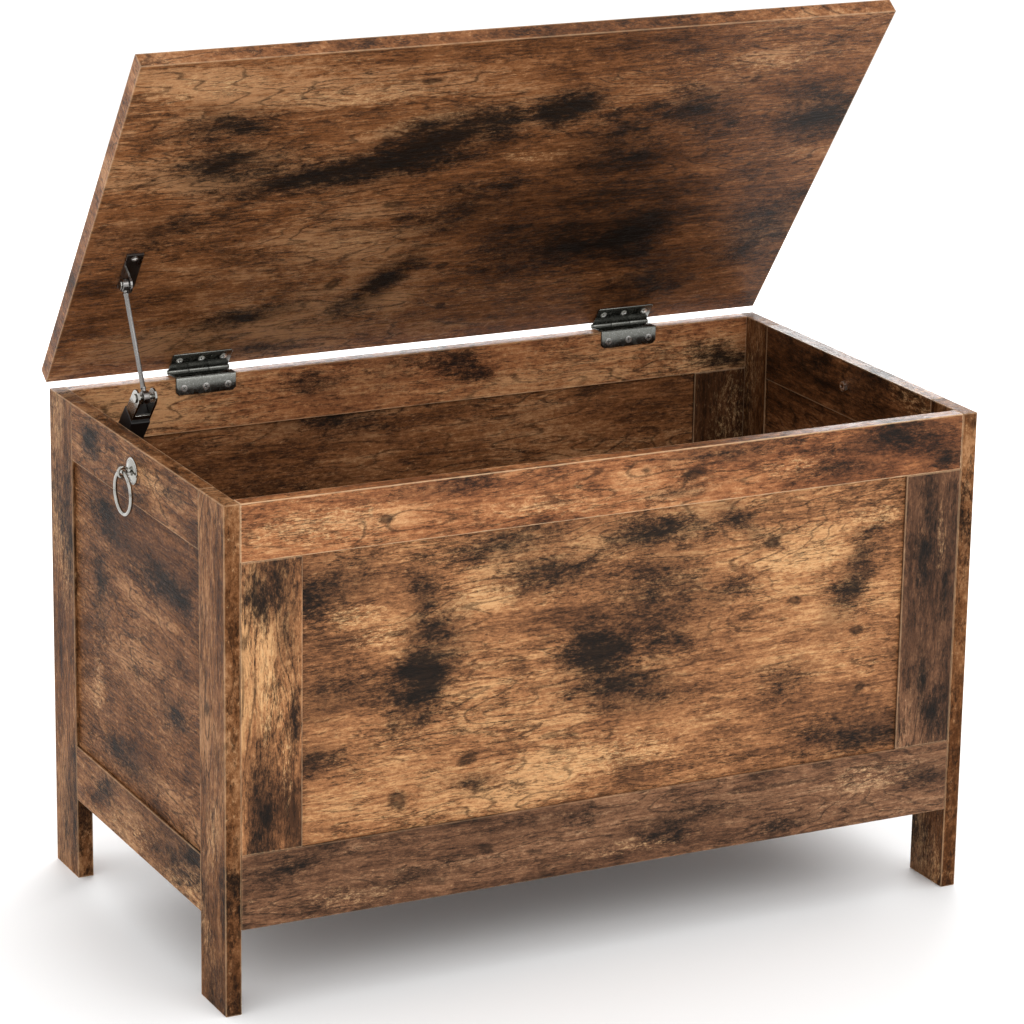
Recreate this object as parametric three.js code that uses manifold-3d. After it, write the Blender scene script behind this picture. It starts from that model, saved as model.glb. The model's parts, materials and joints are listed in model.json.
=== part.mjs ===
// A framed wooden toy chest with a hinged lid, a folding lid stay and a ring pull on each side.
// Millimetres, +X to the right, +Y to the back, +Z up. The chest stands on z = 0.
import * as THREE from 'three';
import { mergeVertices } from 'three/addons/utils/BufferGeometryUtils.js';
import Module from 'manifold-3d';

const wasm = await Module();
wasm.setup();

// ---- driving dimensions ----

// carcase
const body_width = 740;
const body_depth = 410;
const body_height = 460;
const board_thickness = 15;
const leg_width = 55;
const side_top_rail_height = 54;
const side_bottom_rail_height = 53;
const side_bottom_rail_lift = 78;
const face_top_rail_height = 52;
const face_bottom_rail_height = 68;
const face_bottom_rail_lift = 78;
const stile_width = 57;
const panel_thickness = 9;
const panel_tongue = 6;
const groove_clearance = 0.3;

// the thin gap between two pieces that are glued or screwed face to face
const contact_gap = 0.05;

// floor
const floor_thickness = 9;
const floor_clearance = 1;
const cleat_size = 15;

// lid
const lid_thickness = 15;
const lid_side_overhang = 2;
const lid_front_overhang = 2;
const lid_rear_overhang = 0.6;
const lid_open_degrees = 54;

// hinges
const hinge_spacing = 444;
const hinge_width = 60;
const leaf_thickness = 1.2;
const leaf_gap = 1;
const lid_leaf_length = 20;
const body_leaf_drop = 16;
const knuckle_radius = 2.7;
const hinge_pin_radius = 1.3;
const hinge_pin_head_radius = 2.2;
const hinge_pin_head_thickness = 0.8;
const hinge_pivot_setback = 3.6;
const running_clearance = 0.2;
const knuckle_gap = 0.4;
const seat_gap = 0.3;
const body_screw_share = 0.6;
const lid_screw_share = 0.58;

// screws
const screw_head_radius = 3.4;
const screw_shank_radius = 1.5;
const screw_length = 11;
const screw_head_height = 1.6;
const screw_head_rim = 0.3;
const screw_clearance = 0.3;
const hinge_screw_spacing = 22;

// lid stay
const stay_plane_inset = 21;
const stay_lid_reach = 152;
const stay_lid_drop = 17;
const stay_base_setback = 47;
const stay_base_drop = 92;
const arm_height = 20;
const arm_width = 18;
const fork_length = 26;
const fork_wall = 2;
const tenon_length = 8;
const stay_pin_radius = 2.2;
const rivet_head_radius = 4.4;
const rivet_head_thickness = 1.2;
const rod_radius = 2.5;
const rod_eye_radius = 6;
const rod_eye_width = 6;
const bracket_wall = 2;
const base_plate_width = 22;
const base_plate_height = 44;
const base_plate_top_margin = 12;
const base_boss_radius = 8;
const base_screw_spacing = 24;
const base_screw_inset = 10;
const lid_bracket_length = 44;
const lid_bracket_width = 16;
const lid_bracket_screw_offset = 17;
const lid_ear_radius = 8;

// ring pulls
const pull_height_below_top = 24;
const rosette_radius = 12;
const rosette_thickness = 3.2;
const eye_stand_off = 9;
const eye_ball_radius = 4.6;
const eye_neck_radius = 2.6;
const pull_shank_radius = 2;
const ring_radius = 19;
const ring_wire_radius = 1.8;
const ring_clearance = 0.3;
const nut_radius = 5;
const nut_thickness = 4;
const nut_sides = 6;

// how far a cutting tool runs past the face it cuts, and how deep the blocks of one solid are sunk together
const overcut = 1;
const sunk = 0.5;

// smoothness of round pieces
const round_segments = 16;
const small_segments = 8;
const ring_segments = 28;

// ---- materials ----

function finish(colour, roughness, metalness) {
  return new THREE.MeshStandardMaterial({ color: colour, roughness, metalness });
}

const front_wood = finish(0x8a5a33, 0.5, 0);
const side_wood = finish(0x6f4f38, 0.5, 0);
const lid_wood = finish(0x7a4c2b, 0.5, 0);
const inner_wood = finish(0x4a2f1e, 0.6, 0);
const hinge_steel = finish(0xa8a8a6, 0.3, 1);
const screw_steel = finish(0xb8b8b4, 0.3, 1);
const chrome = finish(0xd0d0d0, 0.12, 1);
const dark_steel = finish(0x5a5856, 0.35, 1);
const black_plastic = finish(0x141210, 0.4, 0);

// ---- solids ----

function toSolid(geometry) {
  const bare = geometry.clone();
  bare.deleteAttribute('normal');
  bare.deleteAttribute('uv');
  const merged = mergeVertices(bare, 1e-4);
  return new wasm.Manifold(new wasm.Mesh({
    numProp: 3,
    vertProperties: new Float32Array(merged.attributes.position.array),
    triVerts: new Uint32Array(merged.index.array),
  }));
}

function toGeometry(solid) {
  const mesh = solid.getMesh();
  const indexed = new THREE.BufferGeometry();
  indexed.setAttribute('position', new THREE.BufferAttribute(mesh.vertProperties, 3));
  indexed.setIndex(new THREE.BufferAttribute(mesh.triVerts, 1));
  const flat = indexed.toNonIndexed();
  flat.computeVertexNormals();
  return flat;
}

function cut(geometry, tools) {
  return toGeometry(tools.reduce((solid, tool) => solid.subtract(toSolid(tool)), toSolid(geometry)));
}

function join(geometries) {
  const [first, ...others] = geometries.map(toSolid);
  return toGeometry(others.reduce((solid, other) => solid.add(other), first));
}

function piece(name, geometry, material, position = [0, 0, 0]) {
  const mesh = new THREE.Mesh(geometry, material);
  mesh.name = name;
  mesh.position.set(...position);
  return mesh;
}

// A block from one corner to the other.
function block(low, high) {
  const size = high.map((value, axis) => value - low[axis]);
  const centre = high.map((value, axis) => (value + low[axis]) / 2);
  return new THREE.BoxGeometry(...size).translate(...centre);
}

// A round bar along X, Y or Z between two stations on that axis.
function bar(axis, radius, start, end, centre = [0, 0, 0], segments = small_segments) {
  const geometry = new THREE.CylinderGeometry(radius, radius, end - start, segments);
  geometry.translate(0, (start + end) / 2, 0);
  if (axis === 'x') geometry.rotateZ(-Math.PI / 2);
  if (axis === 'z') geometry.rotateX(Math.PI / 2);
  return geometry.translate(...centre);
}

// A turned solid about Z from a profile of [radius, height] points that starts and ends on the axis.
function turned(profile, segments) {
  const points = profile.map(([radius, height]) => new THREE.Vector2(radius, height));
  return new THREE.LatheGeometry(points, segments).rotateX(Math.PI / 2);
}

// ---- framed walls ----

// Cuts the grooves that hold a panel's tongues. The opening is given along the wall and upwards.
function groove(along, upward) {
  const reach = panel_tongue + groove_clearance;
  const half = panel_thickness / 2 + groove_clearance / 2;
  return block([along[0] - reach, -half, upward[0] - reach], [along[1] + reach, half, upward[1] + reach]);
}

function panelBoard(along, upward) {
  const half = panel_thickness / 2;
  return block(
    [along[0] - panel_tongue, -half, upward[0] - panel_tongue],
    [along[1] + panel_tongue, half, upward[1] + panel_tongue],
  );
}

// A side wall in its own frame: length along X, centred, thickness along Y, the first leg at the low end.
function sideWall(side, first, second, rail_holes, leg_holes) {
  const wall = new THREE.Group();
  const half_depth = body_depth / 2;
  const half_board = board_thickness / 2;
  const leg_inside = half_depth - leg_width;
  const opening = [-leg_inside, leg_inside];
  const rise = [side_bottom_rail_lift + side_bottom_rail_height, body_height - side_top_rail_height];
  const slot = groove(opening, rise);
  const board = (low, high) => block([low[0], -half_board, low[1]], [high[0], half_board, high[1]]);
  const add = (name, geometry, tools = [slot]) =>
    wall.add(piece(`${side}_${name}`, tools.length ? cut(geometry, tools) : geometry, side_wood));
  add(`${first}_leg`, board([-half_depth, 0], [-leg_inside, body_height]), [slot, ...leg_holes]);
  add(`${second}_leg`, board([leg_inside, 0], [half_depth, body_height]));
  add('top_rail', board([-leg_inside, rise[1]], [leg_inside, body_height]), [slot, ...rail_holes]);
  add('bottom_rail', board([-leg_inside, side_bottom_rail_lift], [leg_inside, rise[0]]));
  add('panel', panelBoard(opening, rise), []);
  return wall;
}

// The front or back wall between the side walls: two long rails with two stiles and a panel between them.
function faceWall(face, holes) {
  const wall = new THREE.Group();
  const half_board = board_thickness / 2;
  const half_span = body_width / 2 - board_thickness - contact_gap;
  const stile_inside = half_span - stile_width;
  const opening = [-stile_inside, stile_inside];
  const rise = [face_bottom_rail_lift + face_bottom_rail_height, body_height - face_top_rail_height];
  const slot = groove(opening, rise);
  const board = (low, high) => block([low[0], -half_board, low[1]], [high[0], half_board, high[1]]);
  const add = (name, geometry, tools = [slot]) =>
    wall.add(piece(`${face}_${name}`, tools.length ? cut(geometry, tools) : geometry, front_wood));
  add('top_rail', board([-half_span, rise[1]], [half_span, body_height]), [slot, ...holes]);
  add('bottom_rail', board([-half_span, face_bottom_rail_lift], [half_span, rise[0]]));
  add('left_stile', board([-half_span, rise[0]], [-stile_inside, rise[1]]));
  add('right_stile', board([stile_inside, rise[0]], [half_span, rise[1]]));
  add('panel', panelBoard(opening, rise), []);
  return wall;
}

// ---- floor ----

const floor_underside = face_bottom_rail_lift + cleat_size;

function floorParts() {
  const parts = new THREE.Group();
  const inner_x = body_width / 2 - board_thickness;
  const inner_y = body_depth / 2 - board_thickness;
  parts.add(piece('floor_board', block(
    [-inner_x + floor_clearance, -inner_y + floor_clearance, floor_underside],
    [inner_x - floor_clearance, inner_y - floor_clearance, floor_underside + floor_thickness],
  ), inner_wood));
  for (const [name, edge] of [['front', -1], ['back', 1]]) {
    const outer_face = inner_y - contact_gap;
    const faces = [edge * outer_face, edge * (outer_face - cleat_size)].sort((a, b) => a - b);
    parts.add(piece(`${name}_floor_cleat`, block(
      [-inner_x + floor_clearance, faces[0], face_bottom_rail_lift],
      [inner_x - floor_clearance, faces[1], floor_underside],
    ), inner_wood));
  }
  return parts;
}

// ---- screws ----

// A countersunk screw about Z: its head's flat top at z = 0, its point at -screw_length.
function screwShape() {
  return turned([
    [0, -screw_length],
    [screw_shank_radius, -screw_length + 2 * screw_shank_radius],
    [screw_shank_radius, -screw_head_height],
    [screw_head_radius, -screw_head_rim],
    [screw_head_radius, 0],
    [0, 0],
  ], small_segments);
}

// The hole that such a screw needs, with clearance all round.
function screwHole() {
  const wide = screw_head_radius + screw_clearance;
  const narrow = screw_shank_radius + screw_clearance;
  return turned([
    [0, -screw_length - overcut],
    [narrow, -screw_length - overcut],
    [narrow, -screw_head_height],
    [wide, -screw_head_rim],
    [wide, overcut],
    [0, overcut],
  ], small_segments);
}

// ---- hinges ----

const pivot_rise = leaf_thickness + leaf_gap / 2;
const hinge_pivot = [0, body_depth / 2 + hinge_pivot_setback, body_height + pivot_rise];
const lid_underside = pivot_rise;
const back_rail_inside = body_depth / 2 - board_thickness;
const knuckle_length = (hinge_width - 2 * knuckle_gap) / 3;
const knuckle_edge = knuckle_length / 2 + knuckle_gap;
const screw_stations = [-1, 0, 1].map((step) => step * hinge_screw_spacing);
const body_screw_height = -pivot_rise - body_leaf_drop * body_screw_share;
const lid_screw_reach = hinge_pivot_setback + lid_leaf_length * lid_screw_share;

function knuckle(start, end) {
  return bar('x', knuckle_radius, start, end, [0, 0, 0], round_segments);
}

const pin_bore_radius = hinge_pin_radius + running_clearance;
const pin_bore = bar('x', pin_bore_radius, -hinge_width, hinge_width, [0, 0, 0], round_segments);

// Screw places in the hinge's frame, whose origin is the pin's centre.
function bodyScrewPlaces() {
  const face = back_rail_inside - hinge_pivot[1] - contact_gap - leaf_thickness;
  return screw_stations.map((x) => [x, face, body_screw_height]);
}

function lidScrewPlaces() {
  return screw_stations.map((x) => [x, -lid_screw_reach, lid_underside - leaf_thickness - seat_gap]);
}

function bodyScrewHoles() {
  return bodyScrewPlaces().map((place) => screwHole().rotateX(Math.PI / 2).translate(...place));
}

function lidScrewHoles() {
  return lidScrewPlaces().map((place) => screwHole().rotateX(Math.PI).translate(...place));
}

// The body leaf lies over the back rail's top edge and turns down its inside face.
function bodyLeaf() {
  const half = hinge_width / 2;
  const seat = -pivot_rise + contact_gap;
  const top = seat + leaf_thickness;
  const inside = back_rail_inside - hinge_pivot[1] - contact_gap;
  const flange = block([-half, inside - leaf_thickness, seat], [half, 0, top]);
  const drop = block([-half, inside - leaf_thickness, -pivot_rise - body_leaf_drop], [half, inside, top]);
  const notch = block(
    [-knuckle_edge, -knuckle_radius - knuckle_gap, -2 * knuckle_radius],
    [knuckle_edge, 2 * knuckle_radius, 2 * knuckle_radius],
  );
  const leaf = join([flange, drop, knuckle(-half, -knuckle_edge), knuckle(knuckle_edge, half)]);
  return cut(leaf, [notch, pin_bore, ...bodyScrewHoles()]);
}

// The lid leaf lies under the lid and carries the middle knuckle.
function lidLeaf() {
  const half = hinge_width / 2;
  const top = lid_underside - seat_gap;
  const reach = hinge_pivot_setback + lid_leaf_length;
  const plate = block([-half, -reach, top - leaf_thickness], [half, 0, top]);
  const leaf = cut(plate, [-1, 1].map((edge) => {
    const span = [edge * (knuckle_edge - knuckle_gap), edge * (half + overcut)].sort((a, b) => a - b);
    return block(
      [span[0], -knuckle_radius - knuckle_gap, -2 * knuckle_radius],
      [span[1], 2 * knuckle_radius, 2 * knuckle_radius],
    );
  }));
  const inner = knuckle_length / 2;
  return cut(join([leaf, knuckle(-inner, inner)]), [pin_bore, ...lidScrewHoles()]);
}

function hingePin() {
  const half = hinge_width / 2 + running_clearance;
  const head = half + hinge_pin_head_thickness;
  return join([
    bar('x', hinge_pin_radius, -half - sunk, half + sunk),
    bar('x', hinge_pin_head_radius, -head, -half),
    bar('x', hinge_pin_head_radius, half, head),
  ]);
}

const hinge_places = [['left', -hinge_spacing / 2], ['right', hinge_spacing / 2]];

function bodyHalfOfHinges() {
  const parts = new THREE.Group();
  parts.position.set(...hinge_pivot);
  for (const [side, x] of hinge_places) {
    parts.add(piece(`${side}_hinge_body_leaf`, bodyLeaf(), hinge_steel, [x, 0, 0]));
    parts.add(piece(`${side}_hinge_pin`, hingePin(), hinge_steel, [x, 0, 0]));
    bodyScrewPlaces().forEach((place, index) => {
      const screw = piece(`${side}_hinge_body_screw_${index + 1}`, screwShape(), screw_steel);
      screw.rotation.x = Math.PI / 2;
      screw.position.set(x + place[0], place[1], place[2]);
      parts.add(screw);
    });
  }
  return parts;
}

// ---- lid, in the frame of the hinge pins, closed ----

function lidParts() {
  const parts = new THREE.Group();
  const half = body_width / 2 + lid_side_overhang;
  const rear = lid_rear_overhang - hinge_pivot_setback;
  const front = -body_depth - hinge_pivot_setback - lid_front_overhang;
  const board = block([-half, front, lid_underside], [half, rear, lid_underside + lid_thickness]);
  const holes = hinge_places.flatMap(([, x]) => lidScrewHoles().map((hole) => hole.translate(x, 0, 0)));
  parts.add(piece('lid', cut(board, [...holes, lidBracketScrewHole()]), lid_wood));
  for (const [side, x] of hinge_places) {
    parts.add(piece(`${side}_hinge_lid_leaf`, lidLeaf(), hinge_steel, [x, 0, 0]));
    lidScrewPlaces().forEach((place, index) => {
      const screw = piece(`${side}_hinge_lid_screw_${index + 1}`, screwShape(), screw_steel);
      screw.rotation.x = Math.PI;
      screw.position.set(x + place[0], place[1], place[2]);
      parts.add(screw);
    });
  }
  return parts;
}

// ---- lid stay: its four pivots make a parallelogram with the hinge pin, so the rod never turns ----

const stay_x = -body_width / 2 + board_thickness + stay_plane_inset;
const lid_turn = THREE.MathUtils.degToRad(lid_open_degrees);
const lid_pivot_local = [stay_x, -stay_lid_reach, lid_underside - stay_lid_drop];
const crank = new THREE.Vector2(lid_pivot_local[1], lid_pivot_local[2]).rotateAround(
  new THREE.Vector2(0, 0),
  -lid_turn,
);
const stay_lid_pivot = [stay_x, hinge_pivot[1] + crank.x, hinge_pivot[2] + crank.y];
const stay_base_pivot = [stay_x, hinge_pivot[1] - stay_base_setback, hinge_pivot[2] - stay_base_drop];
const stay_knee = [stay_x, stay_base_pivot[1] + crank.x, stay_base_pivot[2] + crank.y];
const arm_length = crank.length();
const arm_lean = Math.atan2(crank.y, crank.x);
const rod_vector = new THREE.Vector2(stay_lid_pivot[1] - stay_knee[1], stay_lid_pivot[2] - stay_knee[2]);
const rod_length = rod_vector.length();
const rod_lean = Math.atan2(rod_vector.y, rod_vector.x);
const arm_half_width = arm_width / 2;
const stay_bore_radius = stay_pin_radius + running_clearance;

function stayBore(centre) {
  return bar('x', stay_bore_radius, -2 * arm_width, 2 * arm_width, centre, small_segments);
}

// A pin along X with a wider head at each end.
function rivet(low, high) {
  return join([
    bar('x', stay_pin_radius, low, high),
    bar('x', rivet_head_radius, low - rivet_head_thickness, low),
    bar('x', rivet_head_radius, high, high + rivet_head_thickness),
  ]);
}

// The arm's case, from its base pivot along its own +Y.
function armCase() {
  const half = arm_height / 2;
  const end = arm_length - fork_length;
  const body = block([-arm_half_width, 0, -half], [arm_half_width, end, half]);
  const heel = bar('x', half, -arm_half_width, arm_half_width, [0, 0, 0], round_segments);
  const tenon_side = arm_half_width - fork_wall - seat_gap;
  const tenon_top = half - 2 * fork_wall - seat_gap;
  const tenon = block([-tenon_side, end - sunk, -tenon_top], [tenon_side, end + tenon_length, tenon_top]);
  return cut(join([body, heel, tenon]), [stayBore([0, 0, 0])]);
}

// The bright fork at the arm's end: two cheeks round the rod's eye.
function fork() {
  const half = arm_height / 2 - fork_wall;
  const start = arm_length - fork_length + seat_gap;
  const cheek = (low, high) => join([
    block([low, start, -half], [high, arm_length, half]),
    bar('x', half, low, high, [0, arm_length, 0], round_segments),
  ]);
  const inner = arm_half_width - fork_wall;
  const bridge = block(
    [-arm_half_width, start, half - fork_wall],
    [arm_half_width, start + tenon_length, half],
  );
  const cheeks = [cheek(-arm_half_width, -inner), cheek(inner, arm_half_width)];
  return cut(join([...cheeks, bridge]), [stayBore([0, arm_length, 0])]);
}

// The rod with an eye at each end, from the knee along its own +Y.
function stayRod() {
  const half = rod_eye_width / 2;
  const eye = (y) => bar('x', rod_eye_radius, -half, half, [0, y, 0], round_segments);
  const shaft = bar('y', rod_radius, 0, rod_length);
  return cut(join([shaft, eye(0), eye(rod_length)]), [stayBore([0, 0, 0]), stayBore([0, rod_length, 0])]);
}

// The lid bracket's foot lies under the lid and its ear hangs down beside the rod's eye.
const ear_inside = rod_eye_width / 2 + running_clearance;

function lidBracketScrewPlace() {
  const foot = lid_underside - seat_gap - bracket_wall;
  return [stay_x + ear_inside + lid_bracket_width / 2, -stay_lid_reach - lid_bracket_screw_offset, foot];
}

function lidBracketScrewHole() {
  return screwHole().rotateX(Math.PI).translate(...lidBracketScrewPlace());
}

function lidBracket() {
  const top = lid_underside - seat_gap;
  const half = lid_bracket_length / 2;
  const low = stay_x + ear_inside;
  const [, y, z] = lid_pivot_local;
  const wall_end = low + bracket_wall;
  const foot = block([low, y - half, top - bracket_wall], [low + lid_bracket_width, y + half, top]);
  const ear = block([low, y - lid_ear_radius, z], [wall_end, y + lid_ear_radius, top - sunk]);
  const tip = bar('x', lid_ear_radius, low, wall_end, [0, y, z], round_segments);
  const bore = bar('x', stay_bore_radius, low - overcut, wall_end + overcut, [0, y, z]);
  return cut(join([foot, ear, tip]), [bore, lidBracketScrewHole()]);
}

function lidHalfOfStay() {
  const parts = new THREE.Group();
  parts.add(piece('stay_lid_bracket', lidBracket(), dark_steel));
  const pin = rivet(-rod_eye_width / 2 - running_clearance, ear_inside + bracket_wall + running_clearance);
  parts.add(piece('stay_lid_pin', pin, chrome, lid_pivot_local));
  const screw = piece('stay_lid_screw', screwShape(), screw_steel, lidBracketScrewPlace());
  screw.rotation.x = Math.PI;
  parts.add(screw);
  return parts;
}

// The base bracket stands on the inside of the left rear leg and reaches down to the arm's pivot.
const side_inside = -body_width / 2 + board_thickness + contact_gap;
const base_plate_top = body_height - base_plate_top_margin;

function baseScrewPlaces() {
  return [0, 1].map((step) => [
    side_inside + bracket_wall,
    stay_base_pivot[1],
    base_plate_top - base_screw_inset - step * base_screw_spacing,
  ]);
}

function baseScrewHoles() {
  return baseScrewPlaces().map((place) => screwHole().rotateY(Math.PI / 2).translate(...place));
}

function baseBracket() {
  const [, y, z] = stay_base_pivot;
  const half = base_plate_width / 2;
  const face = side_inside + bracket_wall;
  const radius = base_boss_radius;
  const plate_bottom = base_plate_top - base_plate_height;
  const plate = block([side_inside, y - half, plate_bottom], [face, y + half, base_plate_top]);
  const tail = block([side_inside, y - radius, z], [face, y + radius, base_plate_top - sunk]);
  const boss_end = stay_x - arm_half_width - running_clearance;
  const boss = bar('x', radius, side_inside, boss_end, [0, y, z], round_segments);
  const bore = bar('x', stay_bore_radius, side_inside + bracket_wall / 2, boss_end + overcut, [0, y, z]);
  return cut(join([plate, tail, boss]), [bore, ...baseScrewHoles()]);
}

function baseOfStay() {
  const parts = new THREE.Group();
  parts.add(piece('stay_base_bracket', baseBracket(), dark_steel));
  const low = side_inside + bracket_wall / 2 + running_clearance;
  const head = stay_x + arm_half_width + running_clearance;
  const pin = join([
    bar('x', stay_pin_radius, low, head),
    bar('x', rivet_head_radius, head, head + rivet_head_thickness),
  ]);
  parts.add(piece('stay_base_pin', pin, chrome, [0, stay_base_pivot[1], stay_base_pivot[2]]));
  baseScrewPlaces().forEach((place, index) => {
    const screw = piece(`stay_base_screw_${index + 1}`, screwShape(), screw_steel, place);
    screw.rotation.y = Math.PI / 2;
    parts.add(screw);
  });
  return parts;
}

function stayArm() {
  const parts = new THREE.Group();
  parts.position.set(...stay_base_pivot);
  parts.rotation.x = arm_lean;
  parts.add(piece('stay_arm', armCase(), black_plastic));
  parts.add(piece('stay_fork', fork(), chrome));
  const half = arm_half_width + running_clearance;
  parts.add(piece('stay_knee_pin', rivet(-half, half), chrome, [0, arm_length, 0]));
  return parts;
}

function rodOfStay() {
  const parts = new THREE.Group();
  parts.position.set(...stay_knee);
  parts.rotation.x = rod_lean;
  parts.add(piece('stay_rod', stayRod(), dark_steel));
  return parts;
}

// ---- ring pulls, in a frame whose +Z points out of the side wall and whose +Y points up ----

const pull_height = body_height - pull_height_below_top;

function pullHole() {
  return bar('z', pull_shank_radius + screw_clearance, -board_thickness - overcut, overcut);
}

// A dished plate with a neck and a ball on it, and the shank behind it that runs through the rail.
function rosette() {
  const neck_foot = 1.3 * eye_neck_radius;
  const body = turned([
    [0, -board_thickness - nut_thickness],
    [pull_shank_radius, -board_thickness - nut_thickness],
    [pull_shank_radius, contact_gap],
    [rosette_radius, contact_gap],
    [rosette_radius, 0.35 * rosette_thickness],
    [0.86 * rosette_radius, 0.8 * rosette_thickness],
    [0.55 * rosette_radius, rosette_thickness],
    [neck_foot, 1.1 * rosette_thickness],
    [eye_neck_radius, eye_stand_off - 0.8 * eye_ball_radius],
    [0.92 * eye_ball_radius, eye_stand_off - 0.4 * eye_ball_radius],
    [eye_ball_radius, eye_stand_off],
    [0.8 * eye_ball_radius, eye_stand_off + 0.6 * eye_ball_radius],
    [0, eye_stand_off + eye_ball_radius],
  ], round_segments);
  // The ring's wire bends inside the ball, so its bore is wider than the wire by that bend.
  const bend = ring_radius - Math.sqrt(ring_radius ** 2 - eye_ball_radius ** 2);
  const bore_radius = ring_wire_radius + bend + ring_clearance;
  const centre = [0, 0, eye_stand_off];
  return cut(body, [bar('x', bore_radius, -rosette_radius, rosette_radius, centre, round_segments)]);
}

function ring() {
  return new THREE.TorusGeometry(ring_radius, ring_wire_radius, small_segments, ring_segments);
}

function nut() {
  const bore = bar('z', pull_shank_radius + running_clearance, -nut_thickness - overcut, overcut);
  return cut(bar('z', nut_radius, -nut_thickness, 0, [0, 0, 0], nut_sides), [bore]);
}

function ringPull(side) {
  const parts = new THREE.Group();
  parts.add(piece(`${side}_pull_rosette`, rosette(), chrome));
  parts.add(piece(`${side}_pull_ring`, ring(), chrome, [0, -ring_radius, eye_stand_off]));
  parts.add(piece(`${side}_pull_nut`, nut(), screw_steel, [0, 0, -board_thickness - contact_gap]));
  return parts;
}

// ---- the whole chest ----

function placedSide(side) {
  const left = side === 'left';
  const wall_x = (body_width - board_thickness) / 2;
  const turn = left ? -Math.PI / 2 : Math.PI / 2;
  const pull_hole = pullHole().rotateX(Math.PI / 2).translate(0, -board_thickness / 2, pull_height);
  // The stay's screw holes, carried from the chest's frame into the left wall's frame.
  const stay_holes = baseScrewHoles().map((hole) => hole.translate(wall_x, 0, 0).rotateZ(Math.PI / 2));
  const wall = left
    ? sideWall('left', 'rear', 'front', [pull_hole], stay_holes)
    : sideWall('right', 'front', 'rear', [pull_hole], []);
  wall.position.x = left ? -wall_x : wall_x;
  wall.rotation.z = turn;
  return wall;
}

function placedPull(side) {
  const outward = side === 'left' ? -1 : 1;
  const pull = ringPull(side);
  pull.rotation.set(Math.PI / 2, outward * Math.PI / 2, 0, 'ZXY');
  pull.position.set(outward * body_width / 2, 0, pull_height);
  return pull;
}

const chest = new THREE.Group();

const front = faceWall('front', []);
front.position.y = -(body_depth - board_thickness) / 2;
chest.add(front);

const hinge_holes = hinge_places.flatMap(([, x]) => bodyScrewHoles().map((hole) =>
  hole.translate(x, hinge_pivot[1] - (body_depth - board_thickness) / 2, hinge_pivot[2])));
const back = faceWall('back', hinge_holes);
back.position.y = (body_depth - board_thickness) / 2;
chest.add(back);

for (const side of ['left', 'right']) {
  chest.add(placedSide(side));
  chest.add(placedPull(side));
}
chest.add(floorParts());
chest.add(bodyHalfOfHinges());
chest.add(baseOfStay());
chest.add(stayArm());
chest.add(rodOfStay());

const lid = new THREE.Group();
lid.position.set(...hinge_pivot);
lid.rotation.x = -lid_turn;
lid.add(lidParts());
lid.add(lidHalfOfStay());
chest.add(lid);

// The origin is the middle of the ground that the chest covers with its lid open.
const bounds = new THREE.Box3().setFromObject(chest, true);
chest.position.y = -(bounds.min.y + bounds.max.y) / 2;

export default chest;
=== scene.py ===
"""A framed wooden toy chest with its lid propped open: boards, steel hinges, a folding lid stay and ring pulls."""
import json
import math
import random

import bpy
import bmesh
import numpy as np
from mathutils import Matrix, Vector


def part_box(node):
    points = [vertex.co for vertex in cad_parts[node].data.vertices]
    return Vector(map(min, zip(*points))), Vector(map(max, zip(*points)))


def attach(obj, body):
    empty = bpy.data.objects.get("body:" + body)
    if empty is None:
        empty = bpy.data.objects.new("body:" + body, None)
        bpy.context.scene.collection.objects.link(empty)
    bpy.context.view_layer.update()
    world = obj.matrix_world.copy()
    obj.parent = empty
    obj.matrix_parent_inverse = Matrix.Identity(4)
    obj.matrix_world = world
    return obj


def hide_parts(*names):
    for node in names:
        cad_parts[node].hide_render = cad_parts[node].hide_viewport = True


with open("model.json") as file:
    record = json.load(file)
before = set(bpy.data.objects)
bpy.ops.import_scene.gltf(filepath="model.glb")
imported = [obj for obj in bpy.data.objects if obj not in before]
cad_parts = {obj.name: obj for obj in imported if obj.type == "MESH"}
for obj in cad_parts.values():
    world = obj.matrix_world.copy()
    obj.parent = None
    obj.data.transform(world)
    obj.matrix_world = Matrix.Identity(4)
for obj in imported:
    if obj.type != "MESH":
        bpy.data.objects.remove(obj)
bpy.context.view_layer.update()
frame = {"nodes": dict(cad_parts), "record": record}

MM = 0.001


# ---- camera ----

def make_camera(azimuth, elevation, roll, place, focal, sensor=36.0):
    """A camera at a place, looking along a compass direction, dipped by the elevation and turned about its own
    axis."""
    a, e, r = (math.radians(x) for x in (azimuth, elevation, roll))
    forward = Vector((math.sin(a) * math.cos(e), math.cos(a) * math.cos(e), -math.sin(e)))
    right = forward.cross(Vector((0, 0, 1))).normalized()
    up = right.cross(forward)
    level = Matrix((right, up, -forward)).transposed()
    data = bpy.data.cameras.new("camera")
    data.sensor_width = sensor
    data.lens = focal
    data.clip_start, data.clip_end = 0.05, 60
    camera = bpy.data.objects.new("camera", data)
    camera.matrix_world = Matrix.Translation(place) @ (level @ Matrix.Rotation(r, 3, "Z")).to_4x4()
    bpy.context.collection.objects.link(camera)
    bpy.context.scene.camera = camera


make_camera(azimuth=26.86, elevation=16.73, roll=0.92, place=(-1.6334, -3.2371, 1.4416), focal=144.72)


# ---- sums on shader sockets ----

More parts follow.
